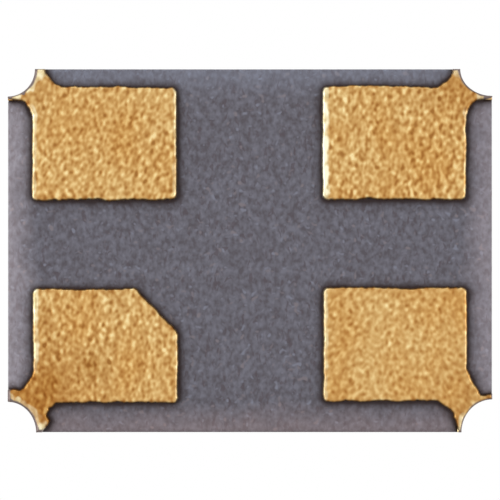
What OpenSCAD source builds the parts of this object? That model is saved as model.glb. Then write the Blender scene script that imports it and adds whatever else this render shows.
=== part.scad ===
// Surface-mount crystal oscillator in a seam-welded ceramic package, in millimetres.
// The solder faces of the terminals lie on z = 0 and the lid is on top. X runs along the length.
// The origin is the middle of the underside, so every corner is a mirror image of the (+X, +Y) one.

/* [Package] */
// Length of the ceramic body, along X
body_length = 1.6; // [1.4:0.05:2.0]
// Width of the ceramic body, along Y
body_width = 1.2; // [1.0:0.05:1.6]
// Finished radius of the metallised notch in each corner
notch_radius = 0.09; // [0.07:0.005:0.11]
// Thickness of the base layer, under the chip
base_layer = 0.1; // [0.06:0.01:0.2]
// Thickness of the middle layer, as deep as the chip cavity
middle_layer = 0.17; // [0.14:0.01:0.3]
// Thickness of the top layer, which stands round the crystal
top_layer = 0.13; // [0.1:0.01:0.3]
// Thickness of the wall round the crystal
wall = 0.15; // [0.12:0.005:0.18]
// Width of the ledge round the chip cavity, apart from the step that carries the crystal
ledge = 0.06; // [0.03:0.01:0.1]
// Radius of the upright edges of both cavities
cavity_corner = 0.05; // [0.03:0.01:0.08]

/* [Terminals] */
// Length of a terminal, along X
pad_length = 0.48; // [0.38:0.01:0.58]
// Width of a terminal, along Y
pad_width = 0.374; // [0.3:0.002:0.44]
// Distance from a terminal to the edges of the body
pad_margin = 0.08; // [0.06:0.005:0.1]
// How far the terminals are printed off centre, along Y
print_shift = -0.021; // [-0.03:0.001:0.03]
// Height by which the terminals stand proud of the ceramic
pad_height = 0.025; // [0.02:0.001:0.05]
// Radius of the terminals' corners
pad_corner = 0.009; // [0.004:0.001:0.03]
// Cut across the inner corner of the terminal that marks the orientation
index_cut = 0.142; // [0.08:0.002:0.2]
// Width of the metal round a notch
land_width = 0.03; // [0.02:0.002:0.05]
// Radius of the hollow curve from a terminal's side to the metal round its notch
flare_radius = 0.05; // [0.03:0.005:0.06]
// Thickness of the metal that lines a notch
lining = 0.012; // [0.008:0.001:0.02]
// Distance from the top of the notch lining to the top of the middle layer
lining_drop = 0.02; // [0:0.01:0.08]

/* [Inner conductors] */
// Thickness of a printed conductor
print_thickness = 0.01; // [0.006:0.001:0.02]
// Width of a printed conductor
trace_width = 0.05; // [0.03:0.005:0.06]
// Diameter of the land under a bump
bump_land = 0.084; // [0.07:0.002:0.1]
// Distance from a bump row to the conductor that passes it
trace_pitch = 0.13; // [0.11:0.005:0.14]
// Diameter of a via
via_diameter = 0.06; // [0.04:0.005:0.07]

/* [Chip] */
// Clearance between the chip and the walls of its cavity
chip_clearance = 0.1; // [0.06:0.01:0.12]
// Thickness of the chip
chip_thickness = 0.1; // [0.07:0.01:0.12]
// Distance from the chip's edges to the middles of its bumps
bump_inset = 0.09; // [0.06:0.01:0.12]
// Diameter of a bump at its flat faces
bump_diameter = 0.05; // [0.04:0.002:0.06]
// Height of a bump
bump_height = 0.02; // [0.015:0.001:0.03]

/* [Crystal] */
// Thickness of the quartz blank, which sets its frequency
blank_thickness = 0.04; // [0.03:0.001:0.07]
// Clearance between the blank and the wall at its held end
blank_end_gap = 0.04; // [0.02:0.01:0.06]
// Clearance between the blank and the wall at its free end
blank_free_gap = 0.16; // [0.06:0.01:0.2]
// Clearance between the blank's sides and the walls
blank_side_gap = 0.06; // [0.04:0.01:0.1]
// Distance from the lands of the adhesive dots to the blank's sides
land_inset = 0.05; // [0.02:0.005:0.07]
// Distance from the lands of the adhesive dots to the edge of the step
step_reach = 0.01; // [0.005:0.005:0.04]
// Diameter of an adhesive dot at its flat faces
dot_diameter = 0.12; // [0.08:0.01:0.14]
// Height of an adhesive dot
dot_height = 0.018; // [0.01:0.001:0.03]
// Distance from the electrodes' middle fields to the ends of the blank
field_end_gap = 0.27; // [0.2:0.01:0.35]
// Distance from the electrodes' middle fields to the sides of the blank
field_side_gap = 0.16; // [0.08:0.01:0.2]
// Thickness of the electrode films
film = 0.002; // [0.001:0.001:0.004]
// Length and width of the lands that the adhesive dots sit between
dot_land = [0.15, 0.18]; // [0.14:0.01:0.2]
// Width of the film strips from the lands to the middle fields
strip_width = 0.08; // [0.04:0.01:0.1]

/* [Seal and lid] */
// Distance from the seal ring to the edges of the body
ring_margin = 0.05; // [0.04:0.005:0.06]
// Distance from the seal ring to the crystal cavity
ring_setback = 0.015; // [0.005:0.005:0.03]
// Height of the seal ring
ring_height = 0.1; // [0.06:0.01:0.2]
// Clearance between the seal ring and the notches
ring_clearance = 0.03; // [0.02:0.005:0.05]
// Thickness of the braze under the seal ring
braze_height = 0.015; // [0.008:0.001:0.03]
// How far the braze reaches past the ring on both sides
braze_reach = 0.01; // [0.001:0.001:0.015]
// Distance from the edge of the lid to the edge of the ring
lid_margin = 0.012; // [0:0.001:0.03]
// Thickness of the lid
lid_thickness = 0.06; // [0.04:0.01:0.1]

/* [Hidden] */
$fn = 64;
gold = "#c79a4d";
fired_metal = "#8f8a80";
nickel = "#bdbab2";
// Surfaces that are cut reach this far past what they cut
over = 0.05;

// Heights, from the solder faces up
base_top = pad_height + base_layer;
step_top = base_top + middle_layer;
ceramic_top = step_top + top_layer;
print_top = base_top + print_thickness;
chip_bottom = print_top + bump_height;
step_print_top = step_top + print_thickness;
dot_top = step_print_top + dot_height;
blank_bottom = dot_top + film;
blank_top = blank_bottom + blank_thickness;
braze_top = ceramic_top + braze_height;
ring_top = braze_top + ring_height;
lining_top = step_top - lining_drop;

// Plan sizes
corner = [body_length / 2, body_width / 2];
raw_notch = notch_radius + lining;
upper_cavity = [body_length - 2 * wall, body_width - 2 * wall];
blank_min = [-upper_cavity[0] / 2 + blank_end_gap, -upper_cavity[1] / 2 + blank_side_gap];
blank_max = [upper_cavity[0] / 2 - blank_free_gap, upper_cavity[1] / 2 - blank_side_gap];
field_min = blank_min + [field_end_gap, field_side_gap];
field_max = blank_max - [field_end_gap, field_side_gap];
dot_x = blank_min[0] + dot_land[0] / 2;
dot_y = blank_max[1] - land_inset - dot_land[1] / 2;
lower_min = [blank_min[0] + dot_land[0] + step_reach, -upper_cavity[1] / 2 + ledge];
lower_max = [upper_cavity[0] / 2 - ledge, upper_cavity[1] / 2 - ledge];
chip_min = [lower_min[0] + chip_clearance, lower_min[1] + chip_clearance];
chip_max = [lower_max[0] - chip_clearance, lower_max[1] - chip_clearance];
bump_x = [chip_min[0] + bump_inset, (chip_min[0] + chip_max[0]) / 2, chip_max[0] - bump_inset];
bump_y = chip_max[1] - bump_inset;

// The ring's inner edge, as an inset from the body's outline, and the radius of its outer corners,
// in whole micrometres, at which it keeps its clearance from the notches
ring_inset = wall - ring_setback;
ring_corner = ceil(1000 * (raw_notch + ring_clearance - ring_margin * sqrt(2)) / (sqrt(2) - 1)) / 1000;

// The conductors that pass the crystal leads run here, and turn here towards their corners
pass_y = bump_y + trace_pitch;
turn_x = lower_min[0] + chip_clearance;
lid_via_y = corner[1] - wall / 2;

// ---------- Shapes that repeat ----------

// A box between two plan corners and two heights
module block(low, high, z0, z1) {
    translate([low[0], low[1], z0]) cube([high[0] - low[0], high[1] - low[1], z1 - z0]);
}

// A rectangle from the origin with round corners
module round_rect(size, r) {
    translate([r, 0]) square([size[0] - 2 * r, size[1]]);
    translate([0, r]) square([size[0], size[1] - 2 * r]);
    for (x = [r, size[0] - r], y = [r, size[1] - r]) translate([x, y]) circle(r);
}

// A rectangle about the origin with round corners
module centred_round_rect(size, r) {
    translate([-size[0] / 2, -size[1] / 2]) round_rect(size, r);
}

// A slab of the body's outline, drawn in by an inset, with round corners
module inset_slab(inset, r, z0, z1) {
    translate([0, 0, z0]) linear_extrude(z1 - z0)
        centred_round_rect([body_length - 2 * inset, body_width - 2 * inset], r);
}

// A frame between two insets from the body's outline
module inset_frame(outer, inner, r, z0, z1) {
    difference() {
        inset_slab(outer, r, z0, z1);
        inset_slab(inner, r - (inner - outer), z0 - over, z1 + over);
    }
}

// What is drawn in one corner, with the package corner at its origin and the body on its
// positive sides, goes to the corner with these signs of X and Y
module at_corner(sx, sy) {
    translate([sx * corner[0], sy * corner[1], 0])
        mirror([sx > 0 ? 1 : 0, 0, 0]) mirror([0, sy > 0 ? 1 : 0, 0]) children();
}

// A straight stretch of conductor in plan, with round ends
module bar(from, to) {
    run = to - from;
    translate(from) {
        rotate(atan2(run[1], run[0])) translate([0, -trace_width / 2]) square([norm(run), trace_width]);
        circle(d = trace_width);
    }
    translate(to) circle(d = trace_width);
}

// A printed conductor through a list of points
module trace(points) {
    for (i = [1:len(points) - 1]) bar(points[i - 1], points[i]);
}

// A short metal or adhesive column whose side bulges out by half its height
module squashed_dot(at, diameter, z0, height) {
    translate([at[0], at[1], z0]) rotate_extrude() {
        square([diameter / 2, height]);
        intersection() {
            translate([diameter / 2, height / 2]) circle(d = height);
            translate([diameter / 2, 0]) square([height, height]);
        }
    }
}

// ---------- Ceramic package ----------

// The shape that both cavities leave when the layers are stacked
module cavities() {
    size = lower_max - lower_min;
    translate([lower_min[0], lower_min[1], base_top]) linear_extrude(middle_layer + over)
        round_rect(size, cavity_corner);
    translate([0, 0, step_top]) linear_extrude(top_layer + over)
        centred_round_rect(upper_cavity, cavity_corner);
}

module notches(r) {
    for (sx = [-1, 1], sy = [-1, 1])
        translate([sx * corner[0], sy * corner[1], pad_height - over])
            cylinder(r = r, h = ceramic_top - pad_height + 2 * over);
}

module ceramic_package() {
    color("#5b5a63") difference() {
        block(-corner, corner, pad_height, ceramic_top);
        notches(raw_notch);
        cavities();
        for (sy = [-1, 1]) {
            pass_lead(sy);
            corner_lead(sy);
            crystal_lead(sy);
        }
        lid_via();
    }
}

// ---------- Terminals ----------

// The hollow curve that joins the side of a terminal, at x = near, to the metal round the notch;
// far is the distance from the terminal's other outer side to the body's edge
module flare(near, far) {
    land_radius = notch_radius + land_width;
    across = near - flare_radius;
    along = sqrt(pow(land_radius + flare_radius, 2) - pow(across, 2));
    difference() {
        polygon([[near, along], [across, along], [0, 0], [near + pad_corner, far + pad_corner]]);
        translate([across, along]) circle(flare_radius);
    }
}

// Plan of a terminal: margin_y is the distance from its outer side to the body's edge
module terminal_plan(margin_y, index) {
    inner_corner = [pad_margin + pad_length, margin_y + pad_width];
    difference() {
        intersection() {
            union() {
                translate([pad_margin, margin_y]) round_rect([pad_length, pad_width], pad_corner);
                circle(notch_radius + land_width);
                flare(pad_margin, margin_y);
                mirror([1, -1]) flare(margin_y, pad_margin);
            }
            square(inner_corner);
        }
        circle(notch_radius);
        if (index)
            translate(inner_corner)
                polygon([[over, over], [over, -index_cut - over], [-index_cut - over, over]]);
    }
}

// The lining of a notch, from the seating plane up
module notch_lining() {
    difference() {
        intersection() {
            cylinder(r = raw_notch, h = lining_top);
            cube([raw_notch, raw_notch, lining_top]);
        }
        translate([0, 0, -over]) cylinder(r = notch_radius, h = lining_top + 2 * over);
    }
}

module terminal(sx, sy, index = false) {
    color(gold) at_corner(sx, sy) {
        linear_extrude(pad_height) terminal_plan(pad_margin - sy * print_shift, index);
        notch_lining();
    }
}

// ---------- Inner conductors ----------

// A plan drawn on the base layer, cut back to the lining of the notches
module base_print() {
    color(fired_metal) difference() {
        translate([0, 0, base_top]) linear_extrude(print_thickness) children();
        notches(raw_notch);
    }
}

// From a middle bump, past the crystal leads, to a corner at the crystal's held end
module pass_lead(sy) {
    base_print() {
        translate([bump_x[1], sy * bump_y]) circle(d = bump_land);
        trace([
            [bump_x[1], sy * bump_y], [bump_x[1], sy * pass_y],
            [turn_x, sy * pass_y], [-corner[0], sy * corner[1]]
        ]);
    }
}

// From an end bump straight to a corner at the crystal's free end
module corner_lead(sy) {
    base_print() {
        translate([bump_x[2], sy * bump_y]) circle(d = bump_land);
        trace([[bump_x[2], sy * bump_y], [corner[0], sy * corner[1]]]);
    }
}

// From an end bump to a via that climbs to the land on the step
module crystal_lead(sy) {
    dot = [dot_x, sy * dot_y];
    base_print() {
        translate([bump_x[0], sy * bump_y]) circle(d = bump_land);
        trace([[bump_x[0], sy * bump_y], dot]);
    }
    color(fired_metal) {
        translate([dot[0], dot[1], base_top]) cylinder(d = via_diameter, h = middle_layer + print_thickness);
        block(dot - dot_land / 2, dot + dot_land / 2, step_top, step_print_top);
    }
}

// From the ground lead out into the wall and up to the seal, which earths the lid
module lid_via() {
    base_print() bar([turn_x, -pass_y], [turn_x, -lid_via_y]);
    color(fired_metal) translate([turn_x, -lid_via_y, base_top])
        cylinder(d = via_diameter, h = ceramic_top - base_top);
}

module lead_ground() {
    pass_lead(-1);
    lid_via();
}

// ---------- Chip ----------

module bump(i, sy) {
    color(gold) squashed_dot([bump_x[i], sy * bump_y], bump_diameter, print_top, bump_height);
}

module oscillator_chip() {
    color("#3c3f46") block(chip_min, chip_max, chip_bottom, chip_bottom + chip_thickness);
}

// ---------- Crystal ----------

module adhesive(sy) {
    color("#a8a59c") squashed_dot([dot_x, sy * dot_y], dot_diameter, step_print_top, dot_height);
}

module quartz_blank() {
    color("#dfe6e8") block(blank_min, blank_max, blank_bottom, blank_top);
}

// One face's film: the middle field, the strip to the held end and the land there
module film_face(sy, z0) {
    strip = [field_end_gap + over, strip_width];
    strip_min = [blank_min[0], sy * (field_max[1] - strip_width / 2) - strip_width / 2];
    block(field_min, field_max, z0, z0 + film);
    block(strip_min, strip_min + strip, z0, z0 + film);
    film_land(sy, z0);
}

module film_land(sy, z0) {
    low = [blank_min[0], sy * dot_y - dot_land[1] / 2];
    block(low, low + dot_land, z0, z0 + film);
}

module electrode_bottom() {
    color(gold) film_face(1, dot_top);
}

module electrode_top() {
    low = [blank_min[0] - film, -dot_y - dot_land[1] / 2];
    color(gold) {
        film_face(-1, blank_top);
        film_land(-1, dot_top);
        block(low, low + [film, dot_land[1]], dot_top, blank_top + film);
    }
}

// ---------- Seal and lid ----------

module seal_braze() {
    color(nickel) inset_frame(
        ring_margin - braze_reach, ring_inset + braze_reach, ring_corner + braze_reach,
        ceramic_top, braze_top
    );
}

module seal_ring() {
    color(nickel) inset_frame(ring_margin, ring_inset, ring_corner, braze_top, ring_top);
}

module lid() {
    color(nickel) inset_slab(
        ring_margin + lid_margin, ring_corner - lid_margin, ring_top, ring_top + lid_thickness
    );
}

// ---------- Nodes ----------

ceramic_package();
terminal(-1, 1, index = true);  // terminal_enable
terminal(-1, -1);  // terminal_ground
terminal(1, -1);  // terminal_output
terminal(1, 1);  // terminal_supply
pass_lead(1);  // lead_enable
lead_ground();
corner_lead(-1);  // lead_output
corner_lead(1);  // lead_supply
crystal_lead(1);  // crystal_lead_a
crystal_lead(-1);  // crystal_lead_b
bump(1, 1);  // bump_enable
bump(1, -1);  // bump_ground
bump(2, -1);  // bump_output
bump(2, 1);  // bump_supply
bump(0, 1);  // bump_crystal_a
bump(0, -1);  // bump_crystal_b
oscillator_chip();
adhesive(1);  // adhesive_a
adhesive(-1);  // adhesive_b
quartz_blank();
electrode_top();
electrode_bottom();
seal_braze();
seal_ring();
lid();
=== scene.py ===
"""Looks of a surface-mount crystal oscillator, seen square-on from its solder side.

Lengths are in metres unless a comment says micrometres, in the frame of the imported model: the solder
faces lie on z = 0, the lid is on top and X runs along the body. The pieces with a visible surface
are rebuilt with their real relief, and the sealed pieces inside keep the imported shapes.
"""
import math
import bpy
import numpy as np
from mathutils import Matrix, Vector
from mathutils.geometry import tessellate_polygon

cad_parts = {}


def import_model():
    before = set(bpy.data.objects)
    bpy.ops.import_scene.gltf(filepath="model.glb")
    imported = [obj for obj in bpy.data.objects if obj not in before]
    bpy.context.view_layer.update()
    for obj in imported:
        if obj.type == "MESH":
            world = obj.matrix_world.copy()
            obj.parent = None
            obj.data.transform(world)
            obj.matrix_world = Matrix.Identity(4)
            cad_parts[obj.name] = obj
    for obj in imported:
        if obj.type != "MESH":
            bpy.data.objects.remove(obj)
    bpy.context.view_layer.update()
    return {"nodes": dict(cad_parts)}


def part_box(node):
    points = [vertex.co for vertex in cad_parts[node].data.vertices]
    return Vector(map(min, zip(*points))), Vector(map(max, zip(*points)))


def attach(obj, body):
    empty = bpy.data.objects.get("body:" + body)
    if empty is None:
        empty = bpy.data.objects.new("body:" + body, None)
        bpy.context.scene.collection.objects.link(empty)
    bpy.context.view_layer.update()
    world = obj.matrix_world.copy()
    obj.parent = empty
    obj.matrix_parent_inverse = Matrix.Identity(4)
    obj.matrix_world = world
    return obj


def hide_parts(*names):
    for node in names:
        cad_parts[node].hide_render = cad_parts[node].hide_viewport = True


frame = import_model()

NODES = frame["nodes"]
MICRON = 1e-6


def microns(*lengths):
    """Lengths in metres, given in micrometres."""
    return np.array(lengths) * MICRON


# ----- Sizes -----

# Body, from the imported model
BODY_LOW, BODY_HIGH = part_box("ceramic_package")
HALF = np.array(BODY_HIGH[:2])
CERAMIC_BOTTOM, CERAMIC_TOP = BODY_LOW.z, BODY_HIGH.z
LINING_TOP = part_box("terminal_enable")[1].z
BASE_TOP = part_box("lead_output")[0].z
LEAD_THICKNESS = 10 * MICRON
STEP_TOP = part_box("adhesive_a")[0].z - LEAD_THICKNESS

# Terminals: pads, necks beside the notches, and linings of the notches
LINING = 12 * MICRON  # thickness
LINING_ROWS = 34
LINING_ROUGHNESS = 0.5 * MICRON
PAD_MARGIN = 80 * MICRON  # from the body's sides
PRINT_SHIFT = -21 * MICRON  # how far the four pads lie off the middle, along Y
PAD_CORNER = 21 * MICRON  # from a corner to the start of its rounding
INDEX_CUT = 142 * MICRON  # from the cut corner to the start of its cut
NECK_MEETS = microns(22, 28)  # from the ends of x_edge and y_edge to the pad's sides
RIM_WIDTH, RIM_DROP = microns(9, 12)  # rounded rim of a pad
PAD_FACE = 2.4 * MICRON  # z of the middle of a pad
PAD_ROOT = 3 * MICRON  # how deep a pad's wall goes into the ceramic
WALL_START = 16 * MICRON  # above this z there is only lining

# Printed edges wander by (amount, length), but not near the body's sides and notches
PRINT_WAVES = [microns(1.5, 16), microns(0.8, 4)]
PRINT_STEP = 3 * MICRON
CLEAN_EDGE = 12 * MICRON
NOTCH_ZONE = 112 * MICRON  # from the body's corner, and past every notch

# Grain of the plating
GRAIN_SIZE = (3.9, 5.2)  # in micrometres, and so is the next
GRAIN_SPACING = 18
GRAIN_HEIGHT = 0.15 * MICRON
GRAIN_LIMIT = 2.2  # of the height, in standard deviations
GRAIN_TURN = 620 * MICRON  # from the notch to where the grain has the far corner's lean
GRAIN_STEP = 2.5 * MICRON  # mesh of the pads

# Painted highlight lines and band, in micrometres: how soft, how ragged along the pad's sides and at the
# notch, and over what length the ones along the sides start
HIGHLIGHT_SOFT, LINE_RAGGED, BAND_RAGGED, LINE_START = 7, 2, 4, 25

# Values of points too far from the notch, or from the metal, to be coloured by it
CLEAR_OF_NOTCH, CLEAR_OF_METAL = 50.0, 200.0

# Ceramic
CERAMIC_STEP = 6.5 * MICRON  # mesh of the underside
CERAMIC_EDGE = 6 * MICRON  # rounding of the outer edges
CERAMIC_RELIEF = 0.5 * MICRON
LAYER_INSETS = microns(0, 2.5, 1)  # base, middle and top layer
SIDE_ROWS = 28
JOINT_ROWS = microns(-7, -3, 0, 3, 7)
JOINT_DEPTH, JOINT_WIDTH = microns(3.5, 4)
CHIP_DEPTH, FLAKE_DEPTH = microns(0.7, 0.8)  # small and wide damage of the sides
WALL, CAVITY_CORNER, CHIP_CLEARANCE = microns(150, 50, 100)
SHADOW_SLIP = microns(0.8, 2.5)  # how far the painted shadow round the metal lies off it, as a cast shadow would

# Seal and lid
RING_SETBACK = 15 * MICRON  # of the ring and the braze, from the cavity
SEAL_INSIDE = HALF[0] - WALL + RING_SETBACK
RING_CORNER = 149 * MICRON
RING_EDGE = 6 * MICRON
SEAL_STEP = 9 * MICRON  # mesh of the ring, the braze and the lid
PROFILE_SPACING = 20 * MICRON  # between a profile's points, where its unevenness is read
LID_INSET = 1.5 * MICRON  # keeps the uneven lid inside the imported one
LID_CORNER = RING_CORNER - 12 * MICRON
LID_WAVES = [microns(0.8, 14)]
LID_RIM = 16 * MICRON
LID_BULGE = 1.0015  # size of the weld as a share of the rim's
LID_EDGE = 6 * MICRON
SEAM_INSET, SEAM_WIDTH, SEAM_PITCH = microns(34, 24, 30)
SEAM_DEPTH, RIPPLE_DEPTH = microns(1.6, 1.2)
LINE_DEPTH, DENT_DEPTH = microns(0.25, 0.5)

# Each corner of the body. Lengths are in micrometres and angles in degrees.
#   signs    of X and Y
#   slip     of the print along X and Y: the pad's outer sides, then its inner ones
#   notch    radii along X and Y
#   lie      lean of the grain from Y, at the notch and at the pad's far corner
#   edges    width and strength of the painted highlight line on the pad's low X side, then on its high X side,
#            and how far from the notch the lines start
#   ends     how far from the body's sides the metal is painted dark as shade, on X and on Y
#   tarnish  how far the browner plating reaches from the notch, and its strength
#   texture  strength of the grain
#   x_edge   edge of the metal from the body's side that faces X to the pad, measured from the corner
#   y_edge   the same from the side that faces Y
#   rim      angle round the notch from the side that faces Y, and width of the painted shade line there
#   pale     the same angle, and width and strength of the painted highlight band there
CORNERS = {
    "terminal_ground": dict(
        signs=(-1, -1), slip=((0, 0), (-1, 0)), notch=(90, 91), lie=(-20, -14),
        edges=(18, 0.8, 13, 0.6, 45), ends=(11, -4), tarnish=(90, 0.36), texture=1.0,
        x_edge=[(0, 98), (30, 104), (53, 109), (72, 136)],
        y_edge=[(124, 0), (128, 15), (155, 48)],
        rim=[(0, 10), (25, 8), (45, 6), (52, 6), (57, 12), (61, 6), (65, 3), (78, 3), (84, 8), (90, 22)],
        pale=[(0, 36, 1.0), (12, 34, 1.0), (22, 25, 0.6), (32, 20, 0.6), (42, 19, 1.0), (49, 17, 1.0),
              (53, 12, 0.1), (60, 12, 0.1), (65, 17, 1.0), (78, 17, 1.0), (84, 8, 0.3)],
    ),
    "terminal_output": dict(
        signs=(1, -1), slip=((-5, -3), (-2, -1)), notch=(106, 89), lie=(-6, -2),
        edges=(23, 1.6, 13, 0.5, 60), ends=(28, 3), tarnish=(130, 0.68), texture=1.06,
        x_edge=[(0, 95), (30, 101), (60, 108), (79, 135)],
        y_edge=[(131, 0), (133, 18), (153, 40)],
        rim=[(0, 7), (20, 4), (60, 4), (75, 4), (82, 8), (90, 22)],
        pale=[(0, 22, 0.8), (10, 18, 0.7), (22, 4, 0.2), (50, 6, 0.2), (60, 18, 0.6), (76, 22, 0.75),
              (90, 12, 0.4)],
    ),
    "terminal_enable": dict(
        signs=(-1, 1), slip=((2, 3), (3, 0)), notch=(94, 101), lie=(2, -6),
        edges=(21, 1.0, 12, 0.45, 115), ends=(9, 9), tarnish=(255, 1.0), texture=1.0,
        x_edge=[(0, 141), (22, 144), (42, 141), (62, 162), (77, 186)],
        y_edge=[(113, 0), (130, 20), (139, 38), (129, 57), (138, 78), (160, 94)],
        rim=[(0, 12), (12, 10), (30, 7), (60, 6), (78, 6), (84, 10), (90, 30)],
        pale=[(0, 38, 1.0), (11, 36, 1.0), (17, 31, 0.5), (35, 28, 0.55), (55, 24, 0.5), (64, 22, 0.3),
              (68, 28, 1.0), (73, 27, 0.9), (77, 20, 0.1), (82, 34, 0.6), (90, 34, 0.6)],
    ),
    "terminal_supply": dict(
        signs=(1, 1), slip=((-3, -1), (1, -5)), notch=(102, 109), lie=(24, -28),
        edges=(18, 0.9, 12, 0.2, 100), ends=(4, 6), tarnish=(150, 0.48), texture=0.76,
        x_edge=[(0, 129), (18, 125), (38, 126), (56, 151), (72, 188)],
        y_edge=[(110, 0), (119, 28), (128, 48), (132, 66), (155, 85)],
        rim=[(0, 6), (15, 3), (60, 2), (90, 4)],
        pale=[(0, 24, 0.9), (12, 20, 0.9), (24, 14, 0.6), (45, 11, 0.4), (62, 4, 0.2), (90, 10, 0.3)],
    ),
}

# ----- Plan shapes -----


def smooth_curve(points, per_span=8):
    """A smooth (Catmull-Rom) curve through a few points."""
    p = np.array(points, float)
    p = np.vstack([2 * p[0] - p[1], p, 2 * p[-1] - p[-2]])
    t = np.linspace(0, 1, per_span, endpoint=False)[:, None]
    spans = [
        0.5 * (2 * b + (c - a) * t + (2 * a - 5 * b + 4 * c - d) * t**2 + (3 * b - a - 3 * c + d) * t**3)
        for a, b, c, d in zip(p[:-3], p[1:-2], p[2:-1], p[3:])
    ]
    return np.vstack(spans + [p[-2:-1]])


def arc(radii, start, end, count):
    """Points on an ellipse about the origin, between two angles in degrees."""
    angle = np.radians(np.linspace(start, end, count))
    return np.column_stack([radii[0] * np.cos(angle), radii[1] * np.sin(angle)])


def soft_corners(before, corners, after, radius, count=7):
    """Corners of a line, each rounded by a parabola that starts and ends this far from it."""
    points = np.array([before, *corners, after], float)
    t = np.linspace(0, 1, count)[:, None]
    turns = []
    for a, b, c in zip(points[:-2], points[1:-1], points[2:]):
        start = b + (a - b) / np.linalg.norm(a - b) * radius
        end = b + (c - b) / np.linalg.norm(c - b) * radius
        turns.append((1 - t) ** 2 * start + 2 * t * (1 - t) * b + t**2 * end)
    return np.vstack(turns)


def round_rectangle(half, radius):
    """A rectangle about the origin with round corners, anticlockwise."""
    middle = np.array(half) - radius
    quarters = [((1, 1), 0), ((-1, 1), 90), ((-1, -1), 180), ((1, -1), 270)]
    return np.vstack([signs * middle + arc((radius, radius), a, a + 90, 30) for signs, a in quarters])


def notch_radii(corner):
    """The radii of a corner's notch along X and Y."""
    return microns(*corner["notch"])


def from_corner(points, signs):
    """Points drawn inward from a corner of the body, moved to the corner with these signs."""
    moved = np.array(signs) * (HALF - np.array(points, float))
    return moved if signs[0] * signs[1] > 0 else moved[::-1]


def outward(ring):
    """The outward direction at each point of an anticlockwise ring."""
    along = np.roll(ring, -1, axis=0) - np.roll(ring, 1, axis=0)
    return np.column_stack([along[:, 1], -along[:, 0]]) / np.linalg.norm(along, axis=1)[:, None]


def softened(directions, reach=4):
    """Directions round a ring, blended with their neighbours', so that insets don't fold at corners."""
    total = sum(np.roll(directions, k, axis=0) for k in range(-reach, reach + 1))
    return total / np.linalg.norm(total, axis=1)[:, None]


def spaced(outline, step):
    """The same closed line with points no further apart than a step."""
    pieces = []
    for a, b in zip(outline, np.roll(outline, -1, axis=0)):
        count = max(1, int(np.ceil(np.linalg.norm(b - a) / step)))
        pieces.append(a + (b - a) * np.linspace(0, 1, count, endpoint=False)[:, None])
    return np.vstack(pieces)


def uneven(outline, step, waves, seed, still=lambda line: 0.0):
    """A closed line that wanders in and out, less where it runs along Y, and not at all where still is 1.

    waves are the amount and the length of each kind of wandering.
    """
    line = spaced(outline, step)
    rng = np.random.default_rng(seed)
    freq = np.fft.fftfreq(len(line), step)
    normal = outward(line)
    wander = 0
    for amount, length in waves:
        response = np.exp(-2 * (np.pi * freq * length) ** 2)
        wave = np.fft.ifft(np.fft.fft(rng.normal(size=len(line))) * response).real
        wander = wander + amount * wave / wave.std()
    calm = 0.45 + 0.55 * np.abs(normal[:, 1])
    return line + normal * (wander * calm * (1 - still(line)))[:, None]


def nearest_on(points, outline, batch=4000):
    """Each point's distance from a closed line, below zero inside, and its nearest place on it."""
    a = outline
    run = np.roll(outline, -1, axis=0) - a
    b = a + run
    # never 0, so that they can divide
    length2 = np.maximum((run**2).sum(1), 1e-20)
    rise = np.where(np.abs(run[:, 1]) < 1e-15, 1e-15, run[:, 1])
    distance, place = np.empty(len(points)), np.empty((len(points), 2))
    for first in range(0, len(points), batch):
        p = points[first:first + batch, None]
        t = np.clip(((p - a) * run).sum(2) / length2, 0, 1)
        offset = p - a - t[..., None] * run
        gap2 = (offset**2).sum(2)
        best = gap2.argmin(1)
        row = np.arange(len(best))
        crosses = (a[:, 1] > p[..., 1]) != (b[:, 1] > p[..., 1])
        at_x = a[:, 0] + run[:, 0] * (p[..., 1] - a[:, 1]) / rise
        inside = (crosses & (p[..., 0] < at_x)).sum(1) % 2 == 1
        gap = np.sqrt(gap2[row, best])
        distance[first:first + batch] = np.where(inside, -gap, gap)
        place[first:first + batch] = p[:, 0] - offset[row, best]
    return distance, place


def rounded(inside, width):
    """How far a rounded edge of this width falls, from 1 at its outline to 0, at points this far inside."""
    rim = np.clip(1 - inside / width, 0, 1)
    return 1 - np.sqrt(1 - rim**2)


# ----- Random fields -----


def random_field(low, high, step, size, seed, longest=None, lean=0.0):
    """A random height with a standard deviation of 1 over a rectangle, as a function of points.

    size is how wide and how long its grains are, and lean turns them, in degrees. Waves longer than
    longest are left out. step, size and longest are in micrometres.
    """
    step, size = step * MICRON, microns(*size)
    margin = 2  # cells past the low sides, and twice as many past the high ones
    shape = np.ceil((np.array(high) - low) / step).astype(int) + 3 * margin
    fx, fy = np.meshgrid(np.fft.fftfreq(shape[0], step), np.fft.fftfreq(shape[1], step), indexing="ij")
    turned = np.exp(1j * math.radians(lean)) * (fx + 1j * fy)
    fx, fy = turned.real, turned.imag
    response = np.exp(-2 * np.pi**2 * ((fx * size[0]) ** 2 + (fy * size[1]) ** 2))
    if longest:
        response = response * (1 - np.exp(-2 * (np.pi * longest * MICRON) ** 2 * (fx**2 + 0.3 * fy**2)))
    white = np.random.default_rng(seed).normal(size=shape)
    field = np.fft.ifft2(np.fft.fft2(white) * response).real
    field = (field - field.mean()) / field.std()

    def read(points):
        at = np.clip((points - low) / step + margin, 0, shape - 1.001)
        (i, j), (s, t) = at.astype(int).T, (at % 1).T
        near = field[i, j] * (1 - s) + field[i + 1, j] * s
        far = field[i, j + 1] * (1 - s) + field[i + 1, j + 1] * s
        return near * (1 - t) + far * t

    return read


# ----- Meshes -----


def level(plan, z):
    """Points of a plan, all at one height."""
    return np.column_stack([plan, np.full(len(plan), z)])


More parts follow.
